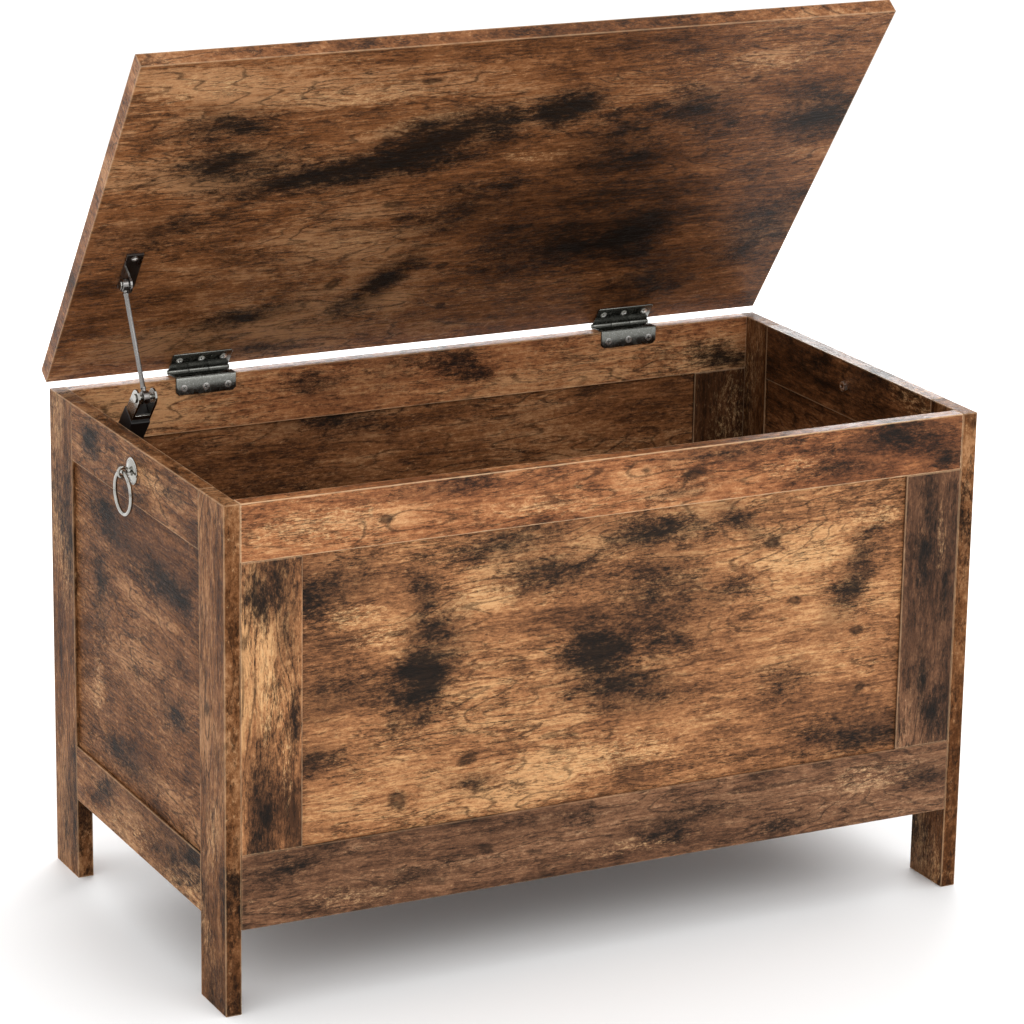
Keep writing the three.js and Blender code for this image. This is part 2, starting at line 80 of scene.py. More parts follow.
class Signal:
    """One socket of a shader tree. Python's operators on it add Math nodes."""

    def __init__(self, recipe, socket):
        self.recipe, self.socket = recipe, socket

    def math(self, operation, *values, clamp=False):
        inputs = dict(enumerate((self, *values)))
        return self.recipe.add("ShaderNodeMath", {"operation": operation, "use_clamp": clamp}, inputs)

    def __add__(self, other): return self.math("ADD", other)
    def __mul__(self, other): return self.math("MULTIPLY", other)
    def __sub__(self, other): return self.math("SUBTRACT", other)
    def __rsub__(self, other): return self.recipe.number(other).math("SUBTRACT", self)

    def low(self, other): return self.math("MINIMUM", other)
    def high(self, other): return self.math("MAXIMUM", other)
    def size(self): return self.math("ABSOLUTE")
    def clamp(self): return self.math("ADD", 0.0, clamp=True)

    def step(self, start, end):
        """Runs smoothly from 0 at start to 1 at end."""
        settings = {"interpolation_type": "SMOOTHSTEP"}
        if start > end:
            return 1.0 - self.step(end, start)
        return self.recipe.add("ShaderNodeMapRange", settings, {"Value": self, "From Min": start, "From Max": end})


class Recipe:
    """A material's shader tree."""

    def __init__(self, name):
        self.material = bpy.data.materials.new(name)
        self.material.use_nodes = True
        self.tree = self.material.node_tree
        self.tree.nodes.clear()

    def add(self, kind, settings=None, inputs=None, output=0):
        """Adds a node: its settings first, then the values or links of its sockets. Gives one of its outputs."""
        node = self.tree.nodes.new(kind)
        for key, value in (settings or {}).items():
            if key == "stops":
                self.fill_ramp(node.color_ramp, value)
            else:
                setattr(node, key, value)
        for key, value in (inputs or {}).items():
            if isinstance(value, Signal):
                self.tree.links.new(value.socket, node.inputs[key])
            elif value is not None:
                node.inputs[key].default_value = value
        return Signal(self, node.outputs[output])

    @staticmethod
    def fill_ramp(ramp, stops):
        while len(ramp.elements) < len(stops):
            ramp.elements.new(0.5)
        for element, (place, colour) in zip(ramp.elements, stops):
            element.position = place
            element.color = (*colour, 1)

    def number(self, value):
        return self.add("ShaderNodeMath", {"operation": "ADD"}, {0: value, 1: 0.0})

    def vector(self, operation, *values, output=0):
        return self.add("ShaderNodeVectorMath", {"operation": operation}, dict(enumerate(values)), output)

    def noise(self, place, scale, detail=2.0, roughness=0.5, output=0):
        """Noise on a place that is first stretched by a scale of its own along each axis."""
        stretched = self.vector("MULTIPLY", place, scale)
        inputs = {"Vector": stretched, "Scale": 1.0, "Detail": detail, "Roughness": roughness}
        return self.add("ShaderNodeTexNoise", {}, inputs, output)

    def ramp(self, factor, stops):
        return self.add("ShaderNodeValToRGB", {"stops": stops}, {0: factor})

    def mix(self, factor, one, other, blend="MIX"):
        settings = {"data_type": "RGBA", "blend_type": blend}
        inputs = {0: factor, 6: self.colour(one), 7: self.colour(other)}
        return self.add("ShaderNodeMix", settings, inputs, 2)

    @staticmethod
    def colour(value):
        return value if isinstance(value, Signal) else (*value, 1)

    def parts(self, vector):
        node = self.add("ShaderNodeSeparateXYZ", {}, {0: vector}).socket.node
        return [Signal(self, socket) for socket in node.outputs]

    def finish(self, settings, inputs, bump=None, bump_depth=0.0002, bump_strength=1.0):
        """Closes the tree with the surface shader. Settings are constants, set on its own sockets."""
        if bump is not None:
            sockets = {"Height": bump, "Distance": bump_depth, "Strength": bump_strength}
            inputs = {**inputs, "Normal": self.add("ShaderNodeBump", {}, sockets)}
        surface = self.add("ShaderNodeBsdfPrincipled", {}, {**settings, **inputs})
        output = self.tree.nodes.new("ShaderNodeOutputMaterial")
        self.tree.links.new(surface.socket, output.inputs["Surface"])
        return self.material


# ---- wood ----

UP = Vector((0, 0, 1))
RIGHT = Vector((1, 0, 0))
BACK = Vector((0, 1, 0))

# each tone from dark to light: the place on the ramp and the colour there
TONES = {
    "golden": [
        (0.12, (0.060, 0.025, 0.011)),
        (0.36, (0.19, 0.078, 0.032)),
        (0.56, (0.37, 0.16, 0.064)),
        (0.80, (0.60, 0.32, 0.14)),
    ],
    "orange": [
        (0.12, (0.075, 0.026, 0.011)),
        (0.38, (0.22, 0.078, 0.030)),
        (0.58, (0.38, 0.15, 0.058)),
        (0.85, (0.60, 0.31, 0.14)),
    ],
    "brown": [
        (0.12, (0.042, 0.019, 0.010)),
        (0.38, (0.125, 0.056, 0.028)),
        (0.60, (0.24, 0.115, 0.058)),
        (0.85, (0.42, 0.24, 0.13)),
    ],
    "lid": [
        (0.12, (0.030, 0.012, 0.005)),
        (0.36, (0.125, 0.046, 0.016)),
        (0.58, (0.25, 0.098, 0.036)),
        (0.84, (0.44, 0.22, 0.10)),
    ],
    # painted shade: a darker copy of the wood, used on the side walls so they read darker than the front
    "shaded_side": [
        (0.14, (0.026, 0.009, 0.003)),
        (0.38, (0.090, 0.033, 0.011)),
        (0.58, (0.190, 0.078, 0.030)),
        (0.80, (0.36, 0.18, 0.082)),
    ],
    # painted shade: this darkest tone is for the boards inside the box, where shade falls
    "dark": [
        (0.12, (0.018, 0.007, 0.003)),
        (0.38, (0.055, 0.022, 0.009)),
        (0.60, (0.105, 0.042, 0.017)),
        (0.85, (0.21, 0.095, 0.042)),
    ],
}
BURNT = (0.006, 0.005, 0.004)
CHAR = (0.013, 0.007, 0.004)
PALE = (0.74, 0.47, 0.23)
# pale edge colour: worn foil and painted highlight at once
WORN_HIGHLIT_EDGE = (0.62, 0.40, 0.23)
GLINT = (0.70, 0.44, 0.22)
SOOT = (0.040, 0.018, 0.009)
SCRATCHED = (0.9, 0.9, 0.9)

# how far the pattern moves from one seed to the next, in metres
SEED_STEP = (1.37, 0.71, 0.29)
# the pale edge strip, worn foil and painted highlight at once: where it ends and is full, and how far mottling
# moves it
WEAR_HIGHLIGHT_WIDTH = (1.5 * MM, 0.3 * MM)
WEAR_HIGHLIGHT_WANDER = 2.2 * MM


def ellipse(recipe, flat, mark):
    """How far inside an ellipse a point is: 1 at its middle, 0 at its rim and past it."""
    u, v, long, short, tilt = mark[:5]
    turned = recipe.add("ShaderNodeMapping", {"vector_type": "TEXTURE"}, {
        "Vector": flat, "Location": (u, v, 0), "Rotation": (0, 0, math.radians(tilt)), "Scale": (long, short, 1),
    })
    return (1.0 - recipe.vector("LENGTH", turned, output="Value")).high(0.0)


def strongest(recipe, flat, marks):
    """The strongest of a list of ellipses at each point, each times its own strength."""
    total = None
    for mark in marks:
        one = ellipse(recipe, flat, mark) * mark[5]
        total = one if total is None else total.high(one)
    return total


def summed(recipe, flat, marks):
    """The sum of a list of soft ellipses at each point, each times its own strength."""
    total = None
    for mark in marks:
        one = ellipse(recipe, flat, mark).step(0.0, 1.0) * mark[5]
        total = one if total is None else total + one
    return total


def moved(recipe, flat, sway, reach):
    """The point pushed about in the board's plane by a noise colour."""
    push = recipe.vector("SUBTRACT", sway, (0.5, 0.5, 0.5))
    return recipe.vector("ADD", flat, recipe.vector("MULTIPLY", push, reach))


def board_frame(recipe, grain, across, centre):
    """The point measured from the board's centre: along the grain, across it and through the board."""
    turn = Matrix((grain, across, grain.cross(across))).transposed().to_euler()
    place = recipe.add("ShaderNodeTexCoord", {}, {}, "Object")
    return recipe.add("ShaderNodeMapping", {"vector_type": "TEXTURE"}, {
        "Vector": place, "Location": tuple(centre), "Rotation": tuple(turn),
    })


def rubbed_edge(half, point, mottle, streak):
    """How pale the edge strip is at a point, worn foil and painted highlight at once: strongest where it lies
    close to two faces of the board at once.
    """
    a, b, c = (half_size - side.size() for half_size, side in zip(half, point))
    edge = a.low(b).high(a.high(b).low(c))
    return (edge + (mottle - 0.5) * WEAR_HIGHLIGHT_WANDER).step(*WEAR_HIGHLIGHT_WIDTH) * (streak + 0.4)


def wood(name, grain, across, centre, half, tone="brown", clouds=(), pales=(), knots=(), shades=(), seed=0,
         lift=0.0, rub=0.4, shine=0.42, gloss=0.1):
    """Printed wood foil: long streaks and short dashes along the grain, soft burnt clouds, pale worn patches,
    knots, and pale edges that are worn foil and painted highlight at once. Marks are (along, across, half length,
    half width, tilt, strength), in metres from the board's centre, with the tilt in degrees. half is the board's
    half size along the grain, across it and through it."""
    recipe = Recipe(name)
    local = board_frame(recipe, grain, across, centre)
    along, over, through = recipe.parts(local)
    flat = recipe.add("ShaderNodeCombineXYZ", {}, {0: along, 1: over, 2: 0.0})
    shifted = recipe.vector("ADD", local, tuple(seed * share for share in SEED_STEP))

    # noises, each stretched along the grain, from the broadest to the finest
    sway = recipe.noise(shifted, (15, 32, 15), detail=4.0, roughness=0.62, output="Color")
    waved = moved(recipe, shifted, sway, (0.0, 0.006, 0.004))
    drift = recipe.noise(shifted, (3.6, 10, 8), detail=4.0, roughness=0.6)
    band = recipe.noise(waved, (6, 70, 30), detail=3.0, roughness=0.65)
    streak = recipe.noise(waved, (34, 360, 90), detail=3.0, roughness=0.65)
    dash = recipe.noise(waved, (62, 430, 160), detail=3.0, roughness=0.6)
    mottle = recipe.noise(shifted, (55, 120, 80), detail=5.0, roughness=0.72)
    grit = recipe.noise(waved, (150, 330, 200), detail=5.0, roughness=0.85)
    fog = recipe.noise(waved, (13, 26, 20), detail=8.0, roughness=0.78)
    seam = (recipe.noise(waved, (22, 210, 90), detail=4.0, roughness=0.7) - 0.5).size()
    figure = (recipe.noise(shifted, (4.5, 20, 14), detail=2.0, roughness=0.45) * 15.0).math("PINGPONG", 0.5)

    # the place on the tone's ramp
    level = (drift - 0.5) * 1.2 + (band - 0.5) * 0.6 + (streak - 0.5) * 0.55 + (mottle - 0.5) * 0.4 + (0.47 + lift)
    level = level + (grit - 0.5) * 1.0 + (fog - 0.5) * 0.6
    broad = moved(recipe, flat, sway, (0.09, 0.05, 0))
    if shades:
        level = level + summed(recipe, broad, shades)
    swayed = moved(recipe, flat, sway, (0.05, 0.03, 0))
    if pales:
        pale = strongest(recipe, swayed, pales).step(0.0, 0.7)
        level = level + pale * (grit * 0.5 - 0.06)
    colour = recipe.ramp(level, TONES[tone])
    if pales:
        colour = recipe.mix(pale * grit.step(0.50, 0.64) * 0.6, colour, PALE)

    # pores, cracks, growth lines, smoke and bright flecks
    dashes = dash.step(0.46, 0.34) * mottle.step(0.36, 0.60)
    colour = recipe.mix(dashes * 0.62, colour, CHAR)
    cracks = seam.step(0.030, 0.0) * fog.step(0.62, 0.44)
    colour = recipe.mix(cracks * 0.8, colour, CHAR)
    lines = (figure + (grit - 0.5) * 0.3).step(0.13, 0.0) * drift.step(0.44, 0.56)
    colour = recipe.mix(lines * 0.6, colour, CHAR)
    smoke = fog.step(0.47, 0.34)
    colour = recipe.mix(smoke * 0.45, colour, CHAR)
    glints = grit.step(0.58, 0.70) * level.step(0.40, 0.70)
    colour = recipe.mix(glints * 0.34, colour, GLINT)

    if clouds:
        wide = [(u, v, 1.7 * long, 1.8 * short, tilt, power) for u, v, long, short, tilt, power in clouds]
        dark = strongest(recipe, swayed, wide)
        haze = (dark + (fog - 0.5) * 1.2).step(0.0, 1.0) * dark.step(0.0, 0.3)
        rough = (0.5 - fog) * 2.6 + (0.5 - grit) * 1.5 + (streak - 0.5) * 0.6
        burn = (dark * 0.78 + rough * 1.1).step(0.15, 0.95) * dark.step(0.0, 0.35)
        colour = recipe.mix(haze * 0.5, colour, SOOT)
        colour = recipe.mix(burn * 0.92, colour, BURNT)
    if knots:
        knot = strongest(recipe, moved(recipe, flat, sway, (0.026, 0.016, 0)), knots) + (0.5 - grit) * 0.9
        colour = recipe.mix(knot.step(0.0, 0.6) * (1.0 - knot.step(0.6, 0.95) * 0.3) * 0.78, colour, CHAR)

    # pale edges: worn foil and painted highlight where edges catch the light
    rubbed = rubbed_edge(half, (along, over, through), mottle, streak)
    colour = recipe.mix((rubbed * rub).clamp(), colour, WORN_HIGHLIT_EDGE)

    relief = streak * 0.6 + dash.step(0.30, 0.52) * 0.6 + mottle * 0.5 + grit * 0.6 - cracks * 0.6 - lines * 0.4
    roughness = (mottle - 0.5) * 0.26 + (streak - 0.5) * 0.24 + shine
    varying = {"Base Color": colour, "Roughness": roughness}
    return recipe.finish({"Specular IOR Level": gloss}, varying, relief, 0.4 * MM, 0.8)


def random_marks(seed, half, clouds=4, pales=2, knots=2, strength=0.8):
    """Marks for a board that has none of its own: places, lengths and strengths drawn from a seeded run."""
    draw = random.Random(seed)

    def spot(low, high, slim):
        long = draw.uniform(low, high)
        short = long * slim * draw.uniform(0.7, 1.2)
        tilt = draw.uniform(-25, 25)
        power = strength * draw.uniform(0.6, 1.2)
        return (draw.uniform(-1, 1) * half[0], draw.uniform(-1, 1) * half[1], long, short, tilt, power)

    return {
        "clouds": [spot(0.03, 0.08, 0.4) for _ in range(clouds)],
        "pales": [spot(0.04, 0.10, 0.35) for _ in range(pales)],
        "knots": [spot(0.006, 0.011, 0.6) for _ in range(knots)],
    }


# ---- metals and plastic ----

def plated(name, colour, roughness, brushed=(40, 40, 40), tarnish_and_reflection_colour=(0.10, 0.08, 0.06), tarnish_and_reflection_strength=0.25):
    """Plated metal: fine brushing, cloudy dark patches and small scratches. Weak dark patches are tarnished metal;
    strong ones, as on the chrome, are painted dark reflections as well.
    """
    recipe = Recipe(name)
    place = recipe.add("ShaderNodeTexCoord", {}, {}, "Object")
    cloud = recipe.noise(place, (160, 160, 160), detail=4.0, roughness=0.65)
    lines = recipe.noise(place, brushed, detail=2.0)
    scratch = recipe.noise(place, (900, 5200, 2600), detail=1.0)
    # cloudy dark patches: tarnished metal, and painted dark reflections where strong
    tarnish_and_reflection_mask = cloud.step(0.52, 0.78) * tarnish_and_reflection_strength
    tint = recipe.mix(tarnish_and_reflection_mask, colour, tarnish_and_reflection_colour)
    tint = recipe.mix(scratch.step(0.62, 0.7) * 0.25, tint, SCRATCHED)
    rough = (lines - 0.5) * 0.2 + cloud.step(0.4, 0.8) * 0.16 + roughness
    varying = {"Base Color": tint, "Roughness": rough}
    return recipe.finish({"Metallic": 1.0}, varying, lines * 0.6 + scratch * 0.4, 0.04 * MM, 0.5)


def black_case(name):
    """Black satin plastic with a fine moulded texture and dusty wear."""
    recipe = Recipe(name)
    place = recipe.add("ShaderNodeTexCoord", {}, {}, "Object")
    grain = recipe.noise(place, (1500, 1500, 1500), detail=2.0)
    dust = recipe.noise(place, (120, 120, 120), detail=4.0, roughness=0.7)
    tint = recipe.mix(dust.step(0.5, 0.8) * 0.35, (0.010, 0.009, 0.009), (0.05, 0.045, 0.04))
    rough = (dust - 0.5) * 0.3 + 0.36
    varying = {"Base Color": tint, "Roughness": rough}
    return recipe.finish({"Specular IOR Level": 0.5}, varying, grain, 0.06 * MM, 0.6)


# ---- boards ----

# triangles this close weld, faces this flat join, and edges sharper than this are rounded
WELD_REACH = 1e-6
FLAT_ANGLE = math.radians(0.6)
EDGE_ANGLE = math.radians(30)


def corners_of(node):
    """The lowest and highest corner of a node's box."""
    return [Vector(corner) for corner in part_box(node)]


def centre_and_half(node, grain, across):
    """The middle of a node's box, and its half sizes along the grain, across it and through it."""
    low, high = corners_of(node)
    size = high - low
    normal = grain.cross(across)
    half = [abs(size.dot(Vector(map(abs, axis)))) / 2 for axis in (grain, across, normal)]
    return (low + high) / 2, half


def soften(node, width=0.8 * MM, segments=3):
    """Joins a part's loose triangles into whole faces and rounds its edges a little."""
    piece = frame["nodes"][node]
    weld = piece.modifiers.new("weld", "WELD")
    weld.merge_threshold = WELD_REACH
    flatten = piece.modifiers.new("flatten", "DECIMATE")
    flatten.decimate_type = "DISSOLVE"
    flatten.angle_limit = FLAT_ANGLE
    bevel = piece.modifiers.new("bevel", "BEVEL")
    bevel.width = width
    bevel.segments = segments
    bevel.limit_method = "ANGLE"
    bevel.angle_limit = EDGE_ANGLE
    bevel.use_clamp_overlap = True


def dress(node, material):
    """Gives a CAD node one material."""
    piece = frame["nodes"][node]
    piece.data.materials.clear()
    piece.data.materials.append(material)


LID_TURN = math.radians(54)
LID_THICKNESS = 15 * MM
LID_DEPTH = 412.6 * MM
LID_ALONG = Vector((0, -math.cos(LID_TURN), math.sin(LID_TURN)))

BOARDS = {}


def board(node, grain, across, **looks):
    """Notes a board's directions and looks. One without clouds of its own gets random marks."""
    BOARDS[node] = (grain, across, looks)


board(
    "front_panel", RIGHT, UP, tone="golden", seed=3,
    clouds=[
        (-0.270, 0.100, 0.050, 0.024, 0, 0.9), (-0.185, 0.070, 0.040, 0.015, 80, 1.0),
        (-0.180, 0.015, 0.050, 0.024, 65, 1.5), (-0.100, 0.115, 0.055, 0.016, 0, 1.0),
        (-0.060, 0.085, 0.055, 0.020, 0, 1.0), (-0.015, 0.005, 0.032, 0.026, 20, 1.4),
        (0.010, -0.030, 0.055, 0.020, -10, 1.3), (-0.270, 0.005, 0.055, 0.018, 0, 0.8),
        (-0.200, -0.010, 0.045, 0.015, -25, 0.8), (-0.290, -0.055, 0.028, 0.012, 0, 0.9),
        (-0.135, -0.100, 0.030, 0.010, 0, 0.9), (0.045, 0.045, 0.055, 0.055, 0, 0.9),
        (0.045, 0.110, 0.070, 0.018, 0, 1.0), (0.130, 0.110, 0.034, 0.012, -40, 1.0),
        (0.110, 0.045, 0.035, 0.012, 10, 0.8), (0.250, 0.040, 0.050, 0.015, 60, 1.0),
        (0.180, -0.045, 0.030, 0.016, 0, 0.7), (0.255, -0.110, 0.055, 0.018, 5, 1.1),
    ],
    knots=[
        (-0.140, -0.075, 0.012, 0.008, 20, 1), (-0.205, -0.105, 0.013, 0.011, 0, 1),
        (0.160, 0.085, 0.012, 0.007, 0, 1), (0.185, 0.025, 0.010, 0.006, 0, 1),
        (0.250, -0.010, 0.009, 0.006, 0, 1), (0.260, -0.065, 0.009, 0.007, 0, 1),
    ],
    pales=[
        (0.190, 0.065, 0.060, 0.020, 0, 1.2), (-0.130, 0.070, 0.045, 0.016, 0, 1.1),
        (-0.245, 0.070, 0.035, 0.014, 0, 1.0), (0.265, 0.095, 0.040, 0.016, 0, 1.0),
        (-0.020, -0.095, 0.120, 0.022, 3, 0.9), (-0.230, 0.045, 0.040, 0.014, 0, 0.9),
    ],
    shades=[
        (-0.050, 0.060, 0.340, 0.110, 0, 0.02), (0.220, 0.040, 0.130, 0.120, 0, 0.22),
        (-0.120, -0.100, 0.300, 0.060, 0, 0.22), (-0.250, -0.060, 0.090, 0.060, 0, 0.14),
        (0.100, -0.080, 0.200, 0.040, 0, 0.08),
    ],
)
board(
    # strong pale edges here: worn foil and painted highlight
    "front_top_rail", RIGHT, UP, tone="orange", seed=5, rub=0.9,
    clouds=[
        (-0.160, 0.018, 0.060, 0.008, 0, 0.7), (0.110, 0.020, 0.070, 0.010, 0, 0.9),
        (0.060, -0.014, 0.040, 0.007, 0, 0.7), (0.285, 0.012, 0.060, 0.012, 5, 1.1),
        (0.235, -0.012, 0.040, 0.008, 0, 0.8), (0.335, -0.010, 0.025, 0.014, 0, 1.0),
    ],
    knots=[
        (0.075, 0.000, 0.016, 0.007, 5, 1.0), (-0.220, -0.004, 0.009, 0.005, 0, 0.9),
        (0.030, 0.010, 0.006, 0.004, 0, 0.8),
    ],
    pales=[
        (-0.280, 0.000, 0.090, 0.022, 0, 1.1), (-0.080, -0.010, 0.080, 0.014, 0, 0.7),
        (0.180, 0.000, 0.050, 0.012, 0, 0.6),
    ],
    shades=[
        (-0.270, 0.000, 0.150, 0.040, 0, 0.17), (0.270, 0.000, 0.130, 0.040, 0, -0.20),
        (0.000, 0.020, 0.200, 0.020, 0, -0.06),
    ],
)
board(
    # weak pale edges here, so less painted highlight along the foot of the panel
    "front_bottom_rail", RIGHT, UP, tone="brown", seed=7, lift=-0.05, rub=0.15,
    clouds=[
        (-0.300, 0.020, 0.060, 0.012, 5, 0.8), (-0.200, -0.012, 0.070, 0.010, 5, 0.7),
        (-0.060, 0.018, 0.080, 0.010, 0, 0.7), (0.080, 0.000, 0.080, 0.012, 5, 0.8),
        (0.180, -0.018, 0.050, 0.010, 0, 0.6), (0.330, 0.006, 0.030, 0.014, 0, 0.8),
    ],
    knots=[(-0.120, 0.004, 0.010, 0.006, 0, 0.9)],
    pales=[
        (0.270, 0.010, 0.060, 0.018, 0, 0.9), (0.020, -0.016, 0.090, 0.010, 0, 0.7),
        (-0.250, -0.018, 0.080, 0.010, 0, 0.7),
    ],
    shades=[(0.250, 0.000, 0.120, 0.050, 0, 0.08)],
)
board(
    "front_left_stile", UP, -RIGHT, tone="golden", seed=9,
    clouds=[
        (0.110, 0.000, 0.035, 0.022, 0, 1.2), (0.070, -0.014, 0.040, 0.010, 0, 0.9),
        (-0.085, 0.010, 0.060, 0.013, 0, 1.0), (-0.020, -0.020, 0.040, 0.006, 0, 0.8),
    ],
    knots=[(0.085, 0.012, 0.008, 0.005, 0, 1.0)],
    pales=[(0.030, 0.004, 0.070, 0.012, 0, 1.2), (-0.050, -0.012, 0.050, 0.008, 0, 1.0)],
    shades=[(0.050, 0.000, 0.080, 0.030, 0, 0.06), (-0.100, 0.000, 0.080, 0.040, 0, -0.18)],
)
board(
    "front_right_stile", UP, -RIGHT, tone="brown", seed=11, lift=-0.06,
    clouds=[
        (0.100, 0.004, 0.034, 0.012, 0, 1.0), (0.050, 0.010, 0.040, 0.008, 0, 0.9),
        (0.010, -0.016, 0.050, 0.008, 0, 1.0), (-0.065, 0.008, 0.045, 0.010, 0, 1.1),
        (-0.110, -0.010, 0.030, 0.012, 0, 0.9),
    ],
    knots=[],
    pales=[(0.070, -0.010, 0.050, 0.008, 0, 0.7)],
    shades=[],
)
# the side walls, here and in the two boards below, take the darker side tone: painted shade for the sides
for wall, seed in (("left", 20), ("right", 40)):
    board(f"{wall}_front_leg", UP, BACK, tone="shaded_side", seed=seed + 1, lift=0.10, gloss=0.03)
    board(f"{wall}_rear_leg", UP, BACK, tone="shaded_side", seed=seed + 2, lift=0.06, gloss=0.03)
    board(f"{wall}_bottom_rail", BACK, UP, tone="shaded_side", seed=seed + 4, lift=0.18, gloss=0.03)
board(
    "left_panel", BACK, UP, tone="shaded_side", seed=25, lift=0.03, gloss=0.03,
    clouds=[
        (0.060, 0.100, 0.050, 0.020, 20, 1.1), (-0.060, 0.085, 0.060, 0.018, 0, 1.0),
        (0.090, 0.030, 0.020, 0.040, 0, 0.9), (-0.080, -0.030, 0.030, 0.014, 0, 0.8),
        (0.020, -0.110, 0.060, 0.016, 0, 1.0),
    ],
    knots=[(-0.100, 0.020, 0.008, 0.006, 0, 0.9)],
    pales=[(0.100, -0.060, 0.020, 0.050, 0, 0.7)],
    shades=[
        (0.020, -0.040, 0.160, 0.070, 0, 0.16), (0.000, 0.110, 0.180, 0.060, 0, -0.14),
        (-0.090, -0.100, 0.080, 0.060, 0, 0.08),
    ],
)
board(
    "left_top_rail", BACK, UP, tone="shaded_side", seed=23, gloss=0.03,
    clouds=[
        (0.105, 0.004, 0.022, 0.016, 0, 1.2), (-0.010, -0.018, 0.040, 0.006, 0, 0.8),
        (-0.090, 0.006, 0.030, 0.010, 0, 0.8),
    ],
    knots=[(0.050, 0.008, 0.009, 0.006, 0, 0.9)],
    pales=[(-0.040, 0.004, 0.050, 0.012, 0, 0.8)],
    shades=[(-0.030, 0.000, 0.110, 0.040, 0, 0.12)],
)
# painted shade: the right wall, the back panel, the back stiles, the floor and its cleats take the lid's tone made
# darker or the dark tone, for the shade inside the box
board("right_panel", BACK, UP, tone="lid", seed=45, lift=-0.14)
board("right_top_rail", BACK, UP, tone="lid", seed=43, lift=-0.15)
board("back_panel", RIGHT, UP, tone="lid", seed=61, lift=0.04)
board("back_top_rail", RIGHT, UP, tone="orange", seed=62, lift=0.16)
board("back_bottom_rail", RIGHT, UP, tone="brown", seed=63)
board("back_left_stile", UP, -RIGHT, tone="dark", seed=64)
board("back_right_stile", UP, -RIGHT, tone="dark", seed=65)
board("floor_board", RIGHT, BACK, tone="dark", seed=66)
board("front_floor_cleat", RIGHT, UP, tone="dark", seed=67)
board("back_floor_cleat", RIGHT, UP, tone="dark", seed=68)

LID_LOOKS = {
    "clouds": [
        (-0.275, 0.125, 0.050, 0.022, 0, 1.1), (-0.260, 0.070, 0.060, 0.030, 0, 1.1),
        (-0.190, 0.045, 0.080, 0.016, 4, 1.2), (-0.110, 0.052, 0.070, 0.020, 8, 1.4),
        (-0.050, 0.085, 0.065, 0.028, 14, 1.8), (-0.060, -0.110, 0.048, 0.016, 50, 1.5),
        (-0.190, -0.140, 0.050, 0.010, 10, 1.1), (-0.160, -0.190, 0.030, 0.010, 0, 1.0),
        (0.000, -0.020, 0.060, 0.030, 20, 1.0), (0.065, 0.110, 0.034, 0.022, 0, 1.6),
        (0.130, 0.055, 0.050, 0.035, 30, 0.9), (0.205, 0.095, 0.045, 0.030, 0, 1.1),
        (0.335, 0.070, 0.040, 0.034, 30, 1.2), (0.185, -0.075, 0.045, 0.030, 20, 1.5),
        (0.120, -0.080, 0.080, 0.030, 0, 1.2), (0.235, -0.150, 0.034, 0.020, 0, 1.0),
        (0.335, -0.090, 0.045, 0.034, 40, 1.2), (-0.310, -0.010, 0.060, 0.020, 0, 0.8),
    ],
    "knots": [
        (-0.085, 0.160, 0.013, 0.006, 0, 1), (-0.080, 0.000, 0.017, 0.008, 0, 1),
        (-0.110, -0.105, 0.012, 0.008, 20, 1), (-0.005, -0.095, 0.011, 0.007, 20, 1),
        (0.010, -0.155, 0.010, 0.006, 0, 0.9),
    ],
    "pales": [
        (-0.310, 0.175, 0.070, 0.022, 0, 1.3), (-0.160, 0.150, 0.110, 0.020, 0, 0.9),
        (-0.090, 0.105, 0.070, 0.012, 12, 1.0), (0.050, 0.050, 0.060, 0.010, 0, 0.8),
        (0.270, 0.150, 0.080, 0.020, 0, 0.6), (-0.130, -0.050, 0.090, 0.014, 0, 0.5),
    ],
    "shades": [
        (0.210, -0.020, 0.270, 0.180, 0, -0.28), (-0.200, 0.170, 0.260, 0.060, 0, 0.13),
        (-0.140, -0.070, 0.220, 0.090, 0, 0.10), (-0.220, -0.150, 0.260, 0.090, 0, 0.30),
        (0.060, -0.170, 0.200, 0.050, 0, 0.10),
    ],
}


def dress_boards():
    for node, (grain, across, looks) in BOARDS.items():
        centre, half = centre_and_half(node, grain, across)
        if "clouds" not in looks:
            looks = {**random_marks(looks["seed"], half), **looks}
        dress(node, wood(node + "_wood", grain, across, centre, half, **looks))
        soften(node)


def dress_lid():
    """The lid lies open at a slant, so its box doesn't give its depth and thickness."""
    low, high = corners_of("lid")
    centre = (low + high) / 2
    half = [(high - low).x / 2, LID_DEPTH / 2, LID_THICKNESS / 2]
    dress("lid", wood("lid_wood", RIGHT, LID_ALONG, centre, half, tone="lid", seed=2, lift=0.05, **LID_LOOKS))
    soften("lid")


dress_boards()
dress_lid()

hinge_steel = plated("hinge_steel", (0.15, 0.15, 0.135), 0.22, brushed=(60, 1800, 1800), tarnish_and_reflection_strength=0.12)
screw_steel = plated("screw_steel", (0.95, 0.94, 0.90), 0.30, tarnish_and_reflection_strength=0.05)
# the chrome's strong dark patches are painted dark reflections as well as tarnished metal
bright_nickel = plated("bright_nickel", (0.36, 0.35, 0.32), 0.14, tarnish_and_reflection_colour=(0.05, 0.04, 0.03), tarnish_and_reflection_strength=0.8)
dark_plate = plated("dark_plate", (0.20, 0.19, 0.18), 0.26)
case_black = black_case("case_black")

METAL_OF = {
    "hinge_steel": hinge_steel, "screw_steel": screw_steel, "chrome": bright_nickel, "dark_steel": dark_plate,
    "black_plastic": case_black,
}
for row in frame["record"]["subparts"]:
    if row["material_slot"] in METAL_OF:
        dress(row["node"], METAL_OF[row["material_slot"]])
        soften(row["node"], 0.4 * MM)


# ---- pieces made from grids ----

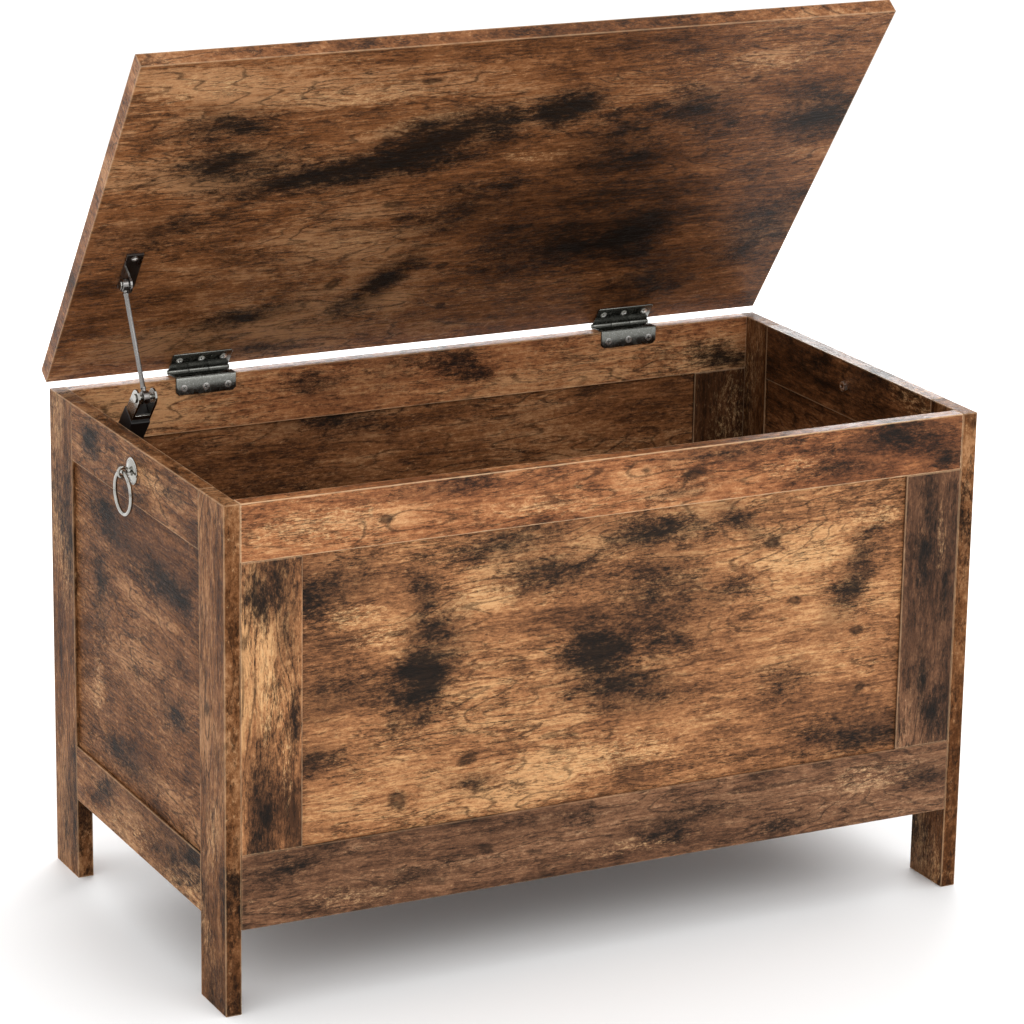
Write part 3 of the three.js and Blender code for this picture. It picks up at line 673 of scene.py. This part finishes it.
def grid_faces(rows, columns, loop=False):
    """Quads between neighbouring rows of a grid whose columns close up. With loop its rows close up too."""
    row, column = np.meshgrid(np.arange(rows if loop else rows - 1), np.arange(columns), indexing="ij")
    here, above = row * columns, (row + 1) % rows * columns
    beside = (column + 1) % columns
    return np.stack((here + column, here + beside, above + beside, above + column), -1).reshape(-1, 4)


def fan(pole, ring):
    """Triangles between a pole and each side of a closed ring of corners."""
    return np.column_stack((np.full(len(ring), pole), np.roll(ring, -1), ring))


def spun(profile, turns=48):
    """A turned shell: each (radius, height) of the profile goes round the Z axis as (radius cos a, radius sin a,
    height). The first and last lie on the axis and become poles."""
    angle = np.linspace(0, 2 * math.pi, turns, endpoint=False)
    radius, height = np.array(profile[1:-1], float).T
    around = [radius[:, None] * np.cos(angle), radius[:, None] * np.sin(angle), height[:, None] + 0 * angle]
    verts = np.stack(around, -1).reshape(-1, 3)
    poles = [[0, 0, profile[0][1]], [0, 0, profile[-1][1]]]
    count, ring = len(radius) * turns, np.arange(turns)
    fans = [fan(count, ring), fan(count + 1, count - 1 - ring)]
    return np.vstack((verts, poles)), [grid_faces(len(radius), turns), *fans]


def hoop(radius, wire, turns=96, sides=24):
    """A torus about Z: a circle of the wire's radius carried round a circle of the hoop's radius."""
    a = np.linspace(0, 2 * math.pi, turns, endpoint=False)[:, None]
    b = np.linspace(0, 2 * math.pi, sides, endpoint=False)
    reach = radius + wire * np.cos(b)
    verts = np.stack((reach * np.cos(a), reach * np.sin(a), wire * np.sin(b) + 0 * a), -1).reshape(-1, 3)
    return verts, [grid_faces(turns, sides, loop=True)]


def sheet(width, low, high, thickness, corner, rim=0.4 * MM):
    """A flat plate in X and Y with its far corners cut off: its outline at four heights, drawn in by the rim at
    the first and last."""
    half = width / 2
    corners = [(-half, low), (half, low), (half, high - corner), (half - corner, high), (corner - half, high),
               (-half, high - corner)]
    outline = np.array(corners)
    middle = outline.mean(0)
    inner = middle + (outline - middle) * (1 - 2 * rim / np.ptp(outline, axis=0))
    levels = ((inner, 0), (outline, rim), (outline, thickness - rim), (inner, thickness))
    verts = np.vstack([np.column_stack((flat, np.full(len(flat), z))) for flat, z in levels])
    base = np.arange(len(outline))
    return verts, [grid_faces(len(levels), len(base)), base[None, ::-1], base[None] + len(verts) - len(base)]


def pill(radius, start, end, rim=0.3 * MM):
    """A turned bar along Z with rounded rims."""
    arc = [(radius - rim * (1 - math.cos(t)), rim * (1 - math.sin(t))) for t in (0.0, 0.5, 1.0, math.pi / 2)]
    lower = [(r, start + h) for r, h in reversed(arc)]
    upper = [(r, end - h) for r, h in arc]
    return spun([(0, start), *lower, *upper, (0, end)], 40)


def placed(shell, origin, out, up):
    """Turns a shell so that its Z points out and its Y up, and moves it to the origin given."""
    verts, faces = shell
    out, up = np.array(out, float), np.array(up, float)
    axes = np.array((np.cross(up, out), up, out))
    return verts @ axes + np.array(origin), faces


def make_piece(name, shells, material, body, nodes):
    """Puts shells together in one mesh that stands in for CAD nodes."""
    verts = np.vstack([points for points, _ in shells])
    starts = np.cumsum([0] + [len(points) for points, _ in shells])
    blocks = [block + start for start, (_, faces) in zip(starts, shells) for block in faces]
    rows = [row for block in blocks for row in block.tolist()]
    mesh = bpy.data.meshes.new(name)
    mesh.from_pydata(verts.tolist(), [], rows)
    work = bmesh.new()
    work.from_mesh(mesh)
    bmesh.ops.recalc_face_normals(work, faces=work.faces)
    work.to_mesh(mesh)
    work.free()
    mesh.shade_smooth()
    mesh.set_sharp_from_angle(angle=math.radians(40))
    mesh.materials.append(material)
    piece = bpy.data.objects.new(name, mesh)
    bpy.context.collection.objects.link(piece)
    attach(piece, body)
    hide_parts(*nodes)


BODY_OF = {node: body for body, nodes in frame["record"]["behaviour"]["bodies"].items() for node in nodes}
LID_OUT = Vector((0, -math.sin(LID_TURN), -math.cos(LID_TURN)))


# ---- screws ----

SCREW_LENGTH = 11 * MM
SCREW_TIP = 3 * MM
SCREW_SHANK = 1.4 * MM
SCREW_HEAD = 3.4 * MM
HEAD_SUNK = 1.6 * MM
HEAD_RIM = 0.2 * MM
HEAD_DOME = 0.25 * MM
CROSS_DEPTH = 1.0 * MM
CROSS_WIDTH = 0.42 * MM
CROSS_REACH = 2.1 * MM
CROSS_SLOPE = 0.25 * MM


def screw_shell():
    """A countersunk screw about Z with its head at height 0. The head is a shallow dome, and a cross is sunk in
    it: the depth is that of two crossed slots, each a product of clipped distances to its sides and ends."""
    shank = [(0, -SCREW_LENGTH), (SCREW_SHANK, SCREW_TIP - SCREW_LENGTH), (SCREW_SHANK, -HEAD_SUNK)]
    top = [(SCREW_HEAD * share, HEAD_DOME * (1 - share ** 2)) for share in np.linspace(1.0, 0.04, 14)]
    verts, faces = spun([*shank, (SCREW_HEAD, -HEAD_RIM), *top, (0, HEAD_DOME)], 64)
    x, y = np.abs(verts[:, 0]), np.abs(verts[:, 1])

    def slot(side, end):
        sides = np.clip((CROSS_WIDTH - side) / CROSS_SLOPE + 0.5, 0, 1)
        return sides * np.clip((CROSS_REACH - end) / CROSS_SLOPE, 0, 1)

    on_top = verts[:, 2] > -HEAD_RIM / 2
    verts[:, 2] -= CROSS_DEPTH * np.maximum(slot(x, y), slot(y, x)) * on_top
    return verts, faces


def make_screw(node, out, turn):
    """The tip lies at the far side of the node's box, so the head lies one screw's length back from it."""
    low, high = corners_of(node)
    place = (low + high) / 2
    for axis in range(3):
        if abs(out[axis]) > 0.3:
            place[axis] = (high if out[axis] < 0 else low)[axis] + SCREW_LENGTH * out[axis]
    level = UP if out == RIGHT else RIGHT
    shell = placed(screw_shell(), place, out, Matrix.Rotation(turn, 3, out) @ level)
    make_piece(node + "_shape", [shell], screw_steel, BODY_OF[node], [node])


draw = random.Random(8)
for side in ("left", "right"):
    for number in (1, 2, 3):
        make_screw(f"{side}_hinge_body_screw_{number}", -BACK, draw.uniform(0, 3))
        make_screw(f"{side}_hinge_lid_screw_{number}", LID_OUT, draw.uniform(0, 3))
for number in (1, 2):
    make_screw(f"stay_base_screw_{number}", RIGHT, draw.uniform(0, 3))
make_screw("stay_lid_screw", LID_OUT, draw.uniform(0, 3))


# ---- hinges ----

JOINTS = {row["name"]: Vector(row["pos_m"]) for row in frame["record"]["behaviour"]["joints"]}
PIVOT = JOINTS["lid_hinge"]
LEAF = 1.2 * MM
LEAF_CORNER = 3 * MM
LID_LEAF_CORNER = 1.5 * MM
LID_LEAF_START = 1.5 * MM
LID_LEAF_END = 23.6 * MM
# the lid leaf's underside lies this far from the pin's axis
LID_LEAF_SEAT = 1.68 * MM
KNUCKLE = 2.7 * MM
KNUCKLE_GAP = 0.2 * MM


def barrel(x, start, end):
    """A piece of the hinge's barrel along X."""
    return placed(pill(KNUCKLE, start, end), (x, PIVOT.y, PIVOT.z), RIGHT, UP)


def make_hinge(side):
    """A hinge of two leaves. The body leaf lies on the back rail and is bent down its inside."""
    low, high = corners_of(f"{side}_hinge_body_leaf")
    x, width = (low.x + high.x) / 2, high.x - low.x
    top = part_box("back_top_rail")[1][2] + LEAF
    drop = placed(sheet(width, 0, top - low.z, LEAF, LEAF_CORNER), (x, low.y + LEAF, top), -BACK, -UP)
    flange = placed(sheet(width, 0, PIVOT.y - low.y, LEAF, 0.3 * MM), (x, low.y, top - LEAF), UP, BACK)
    inner, outer = width / 6 - KNUCKLE_GAP, width / 6 + KNUCKLE_GAP
    ends = [barrel(x, -width / 2, -outer), barrel(x, outer, width / 2)]
    make_piece(f"{side}_body_leaf", [drop, flange, *ends], hinge_steel, "chest",
               [f"{side}_hinge_body_leaf"])
    seat = Vector((x, PIVOT.y, PIVOT.z)) - LID_OUT * LID_LEAF_SEAT
    flat = sheet(width, LID_LEAF_START, LID_LEAF_END, LEAF, LID_LEAF_CORNER)
    leaf = placed(flat, seat, LID_OUT, LID_ALONG)
    make_piece(f"{side}_lid_leaf", [leaf, barrel(x, -inner, inner)], hinge_steel, "lid",
               [f"{side}_hinge_lid_leaf"])


make_hinge("left")
make_hinge("right")


# ---- ring pulls ----

# the rosette's outline in millimetres: the shank, the beaded plate and the neck under the eye
ROSETTE = [
    (0, -19.0), (2.0, -19.0), (2.0, 0.05),
    (11.9, 0.05), (12.2, 0.4), (12.2, 0.9), (11.8, 1.3), (11.1, 1.35), (10.7, 1.15), (10.3, 1.3), (9.6, 1.9),
    (8.2, 2.5), (6.2, 2.9), (4.6, 3.2), (3.6, 3.7), (3.0, 4.3), (2.7, 5.0), (2.4, 5.4), (0, 5.5),
]
EYE_RADIUS = 4.3 * MM
EYE_WIRE = 1.5 * MM


def make_pull(side, out):
    """A ring hanging in the eye of a rosette. out points away from the wall."""
    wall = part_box(f"{side}_top_rail")[0 if side == "left" else 1][0]
    low, high = corners_of(f"{side}_pull_ring")
    centre = (low + high) / 2
    wire = (high.x - low.x) / 2
    radius = (high.z - low.z) / 2 - wire
    ring = placed(hoop(radius, wire), centre, out, UP)
    make_piece(f"{side}_ring", [ring], bright_nickel, f"{side}_ring", [f"{side}_pull_ring"])
    foot = Vector((wall, centre.y, centre.z + radius))
    disc = placed(spun([(r * MM, h * MM) for r, h in ROSETTE], 64), foot, out, UP)
    eye = placed(hoop(EYE_RADIUS, EYE_WIRE, 48, 16), (centre.x, foot.y, foot.z), BACK, UP)
    make_piece(f"{side}_rosette", [disc, eye], bright_nickel, "chest", [f"{side}_pull_rosette"])


make_pull("left", -RIGHT)
make_pull("right", RIGHT)


# ---- stay rod ----

ROD = 2.1 * MM
ROD_COLLAR = 2.6 * MM
COLLAR_PLACE = 7 * MM
COLLAR_LENGTH = 3 * MM
ROD_EYE = 6 * MM
ROD_EYE_HALF = 3 * MM


def make_rod():
    """A thin rod with a collar at each end, between two flat eyes: one round the knee pin, one in the lid
    bracket."""
    top = JOINTS["stay_rod_pivot"]
    low, high = corners_of("stay_knee_pin")
    knee = (low + high) / 2
    length = (top - knee).length
    steps = [(ROD, 0), (ROD, 0.5 * MM), (ROD_COLLAR, 1.2 * MM), (ROD_COLLAR, 2.2 * MM), (ROD, COLLAR_LENGTH)]
    near = [(radius, COLLAR_PLACE + height) for radius, height in steps]
    far = [(radius, length - height) for radius, height in reversed(near)]
    profile = [(0, 0), (ROD, 0), *near, *far, (ROD, length), (0, length)]
    shaft = placed(spun(profile, 32), knee, (top - knee).normalized(), RIGHT)
    flat_eye = pill(ROD_EYE, -ROD_EYE_HALF, ROD_EYE_HALF, 0.5 * MM)
    eyes = [placed(flat_eye, place, RIGHT, UP) for place in (knee, top)]
    make_piece("rod", [shaft, *eyes], dark_plate, "stay_rod", ["stay_rod"])


make_rod()


# ---- floor, lights and world ----

def make_floor(side=14.0):
    mesh = bpy.data.meshes.new("floor")
    corners = [(-side, -side, 0), (side, -side, 0), (side, side, 0), (-side, side, 0)]
    mesh.from_pydata(corners, [], [(0, 1, 2, 3)])
    floor = bpy.data.objects.new("floor", mesh)
    bpy.context.collection.objects.link(floor)
    recipe = Recipe("floor_paint")
    place = recipe.add("ShaderNodeTexCoord", {}, {}, "Object")
    mist = recipe.noise(place, (0.8, 0.8, 0.8), detail=2.0)
    tint = recipe.mix(mist, (0.90, 0.90, 0.90), (0.94, 0.94, 0.94))
    mesh.materials.append(recipe.finish({"Roughness": 0.9, "Specular IOR Level": 0.1}, {"Base Color": tint}))


def area_light(name, place, target, size, power):
    data = bpy.data.lights.new(name, "AREA")
    data.shape = "RECTANGLE"
    data.size, data.size_y = size
    data.energy = power
    light = bpy.data.objects.new(name, data)
    light.location = place
    light.rotation_euler = (Vector(target) - Vector(place)).to_track_quat("-Z", "Y").to_euler()
    light.visible_camera = False
    bpy.context.collection.objects.link(light)


def make_world(strength):
    world = bpy.data.worlds.new("studio")
    bpy.context.scene.world = world
    world.use_nodes = True
    background = world.node_tree.nodes["Background"]
    background.inputs["Color"].default_value = (1, 1, 1, 1)
    background.inputs["Strength"].default_value = strength


make_floor()
make_world(strength=1.22)
area_light("key", place=(0.6, -2.6, 2.4), target=(0, 0, 0.3), size=(2.0, 1.4), power=18)
area_light("side", place=(-3.0, -0.6, 1.6), target=(0, 0, 0.3), size=(1.6, 1.6), power=4)
area_light("rear", place=(1.3, 2.6, 1.35), target=(0, 0, 0.46), size=(2.6, 0.7), power=75)
bpy.context.scene.view_settings.view_transform = "Standard"
